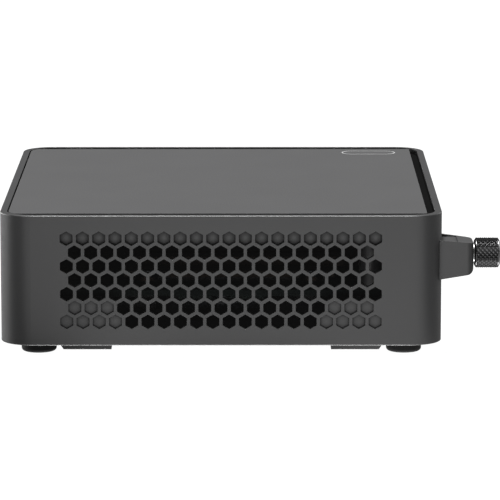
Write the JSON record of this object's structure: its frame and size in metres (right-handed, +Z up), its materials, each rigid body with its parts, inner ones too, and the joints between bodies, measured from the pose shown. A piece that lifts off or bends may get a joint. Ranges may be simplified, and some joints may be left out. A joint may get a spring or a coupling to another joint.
{
  "type": "mini pc",
  "caption": "Small desktop computer in a shallow grey case with honeycomb side vents, a lift-off bottom cover, rubber feet and a rear lock bracket with a knurled thumbscrew.",
  "frame": {"origin": "on the surface that the feet stand on, under the centre of the case", "axes": "+Z up through the top panel, +Y towards the rear sockets, +X to the right when facing the front"},
  "size_m": [0.117, 0.1268, 0.037],
  "materials": {
    "case_plastic": "fine textured dark grey moulding",
    "panel_plastic": "matt mid grey",
    "black_trim": "matt black",
    "panel_metal": "black painted sheet",
    "foot_rubber": "black rubber",
    "socket_metal": "plated sheet",
    "screw_steel": "zinc plated",
    "brass_thread": "knurled brass",
    "aluminium_plate": "milled",
    "copper_metal": "bare copper",
    "thermal_pad": "soft grey pad",
    "light_ring": "frosted clear",
    "circuit_board": "dark green solder mask",
    "chip": "moulded black package",
    "aerial_foil": "thin foil",
    "lead_jacket": "thin jacketed lead",
    "knob_metal": "black knurled"
  },
  "bodies": {
    "case": {"case_shell": "case_plastic", "top_panel": "panel_plastic", "top_carrier": "black_trim", "rear_io_plate": "panel_metal", "button_light_ring": "light_ring", "power_switch": "black_trim", "motherboard": "circuit_board", "board_screws": "screw_steel", "processor": "chip", "cold_plate": "copper_metal", "heat_pipes": "copper_metal", "fin_stack": "aluminium_plate", "cooler_screws": "screw_steel", "fan_housing": "black_trim", "fan_cover": "socket_metal", "fan_bearing": "brass_thread", "fan_stator": "copper_metal", "fan_screws": "screw_steel", "memory_socket": "black_trim", "memory_module_upper": "circuit_board", "memory_module_lower": "circuit_board", "ssd_socket": "black_trim", "ssd_card": "circuit_board", "wifi_socket": "black_trim", "wifi_card": "circuit_board", "card_standoffs": "brass_thread", "card_screws": "screw_steel", "antennas": "aerial_foil", "antenna_leads": "lead_jacket", "coin_cell_holder": "black_trim", "coin_cell": "screw_steel", "power_inlet": "black_trim", "rear_usb_sockets": "socket_metal", "rear_usb_c_sockets": "socket_metal", "network_socket": "socket_metal", "display_sockets": "socket_metal", "front_usb_sockets": "socket_metal", "front_usb_c_socket": "socket_metal", "bracket_insert": "brass_thread"},
    "bottom_cover_body": {"bottom_cover": "case_plastic", "mounting_inserts": "brass_thread", "rubber_feet": "foot_rubber", "cover_heat_plate": "aluminium_plate", "ssd_thermal_pad": "thermal_pad"},
    "latch": {"cover_latch": "black_trim"},
    "power_button_body": {"power_button": "black_trim"},
    "fan_wheel": {"fan_rotor": "black_trim", "fan_shaft": "screw_steel"},
    "bracket": {"lock_bracket": "case_plastic"},
    "washer": {"screw_washer": "screw_steel"},
    "screw": {"thumbscrew": "knob_metal"}
  },
  "joints": [
    {"name": "cover_lift_off", "type": "slide", "parent": "case", "child": "bottom_cover_body", "axis": [0, 0, -1], "range_m": [0, 0.05]},
    {"name": "latch_slide", "type": "slide", "parent": "bottom_cover_body", "child": "latch", "axis": [0, -1, 0], "range_m": [0, 0.003]},
    {"name": "power_button_press", "type": "slide", "parent": "case", "child": "power_button_body", "axis": [0, 1, 0], "range_m": [0, 0.0005], "stiffness_N_per_m": 900, "springref_m": -0.0005},
    {"name": "fan_spin", "type": "hinge", "parent": "case", "child": "fan_wheel", "pos_m": [-0.025, -0.001, 0.026], "axis": [0, 0, 1], "continuous": true},
    {"name": "bracket_lift_off", "type": "slide", "parent": "case", "child": "bracket", "axis": [0, 1, 0], "range_m": [0, 0.025]},
    {"name": "screw_advance", "type": "slide", "parent": "bracket", "child": "washer", "axis": [0, 1, 0], "range_m": [0, 0.004]},
    {"name": "screw_turn", "type": "hinge", "parent": "washer", "child": "screw", "pos_m": [0.0481, 0.0645, 0.0258], "axis": [0, 1, 0], "range_deg": [0, 2885]}
  ],
  "couplings": [
    {"joint": "screw_turn", "follows": "screw_advance", "rad_per_m": 12566}
  ]
}
